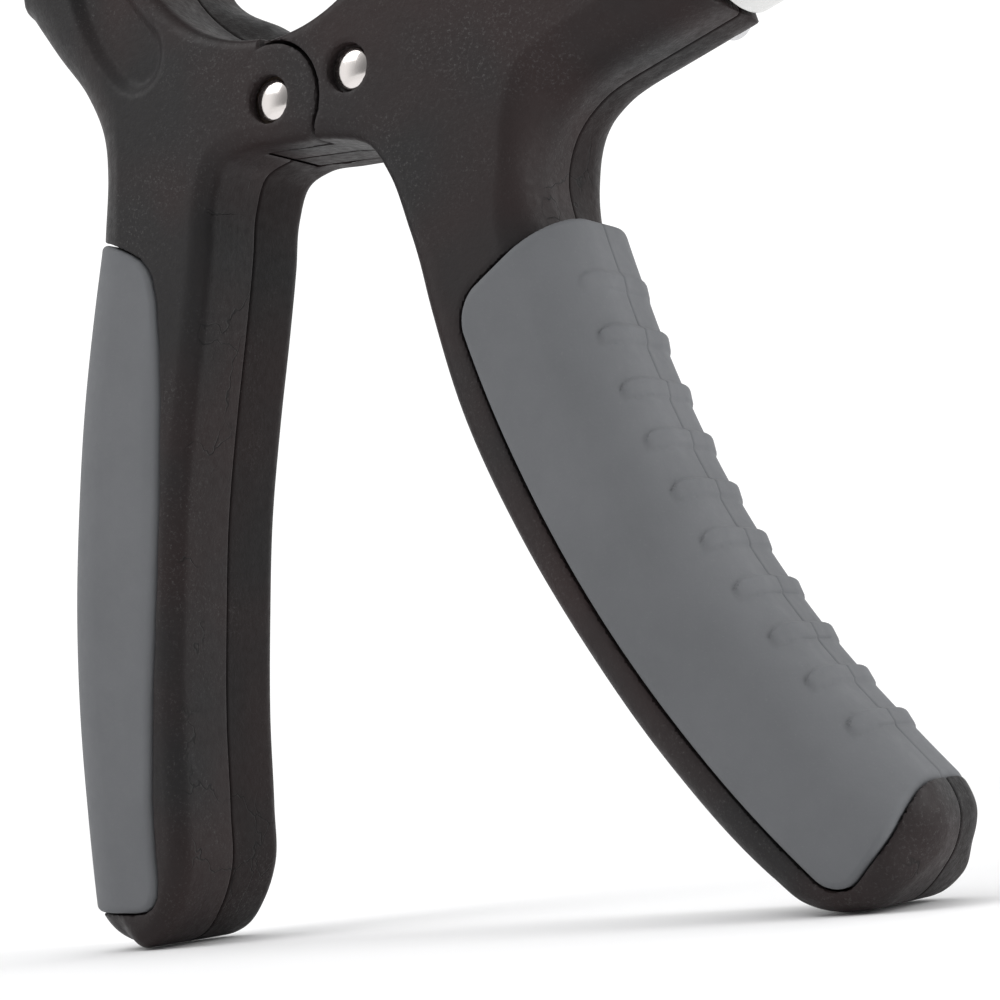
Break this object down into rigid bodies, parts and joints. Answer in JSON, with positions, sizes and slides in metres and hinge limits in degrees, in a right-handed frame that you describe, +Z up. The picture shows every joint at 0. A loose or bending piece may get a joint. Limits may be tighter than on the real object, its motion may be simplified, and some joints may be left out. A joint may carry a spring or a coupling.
{
  "type": "hand grip strengthener",
  "caption": "Hand grip strengthener: two grip-covered levers on a pivot pin, a hooked arm with an extension spring, and a knob that sets the load.",
  "frame": {"origin": "centre of the bounding box in plan, on the ground that both handle ends stand on", "axes": "+Z up, from the handle ends to the hook; +X from the palm handle to the finger handle and the knob; -Y is the front face, and Y runs through the depth, along the pivot pin"},
  "size_m": [0.1228, 0.025, 0.1703],
  "materials": {
    "shell_black": "fine satin grain",
    "grip_grey": "matt soft touch",
    "pin_steel": "polished",
    "ring_steel": "satin turned",
    "knob_black": "satin",
    "screw_steel": "bright zinc",
    "brass": "machined",
    "nylon": "natural nylon",
    "carriage_red": "satin",
    "pointer_white": "satin",
    "spring_steel": "bright plated"
  },
  "bodies": {
    "main_lever": {"main_front_shell": "shell_black", "main_rear_shell": "shell_black", "finger_grip": "grip_grey", "main_shell_screws": "screw_steel", "pivot_pin": "pin_steel", "hinge_washers": "nylon", "body_rivet": "pin_steel", "outer_bearing": "nylon", "inner_bearing": "nylon", "thrust_washer": "screw_steel", "main_spring": "spring_steel"},
    "palm_lever": {"palm_front_shell": "shell_black", "palm_rear_shell": "shell_black", "palm_grip": "grip_grey", "palm_shell_screws": "screw_steel", "pivot_bushes": "brass", "upper_spring_pin": "screw_steel"},
    "knob": {"adjusting_screw": "screw_steel", "retaining_clip": "screw_steel", "knob_ring": "ring_steel", "knob_cap": "knob_black", "knob_screw": "screw_steel", "knob_plug": "knob_black"},
    "carriage": {"carriage": "carriage_red", "carriage_nut": "brass", "lower_spring_pin": "screw_steel", "load_pointer": "pointer_white"}
  },
  "joints": [
    {"name": "squeeze", "type": "hinge", "parent": "main_lever", "child": "palm_lever", "pos_m": [-0.01651, 0, 0.10474], "axis": [0, -1, 0], "range_deg": [0, 40], "stiffness_Nm_per_rad": 9, "springref_deg": -11.46, "deforming": ["main_spring"]},
    {"name": "knob_turn", "type": "hinge", "parent": "main_lever", "child": "knob", "pos_m": [0.04142, 0, 0.11404], "axis": [0.9681, 0, 0.2504], "range_deg": [-1439, 1439], "deforming": ["main_spring"]},
    {"name": "carriage_slide", "type": "slide", "parent": "main_lever", "child": "carriage", "axis": [0.9681, 0, 0.2504], "range_m": [-0.006, 0.006], "deforming": ["main_spring"]}
  ],
  "couplings": [
    {"joint": "carriage_slide", "follows": "knob_turn", "m_per_rad": -0.00023873}
  ]
}
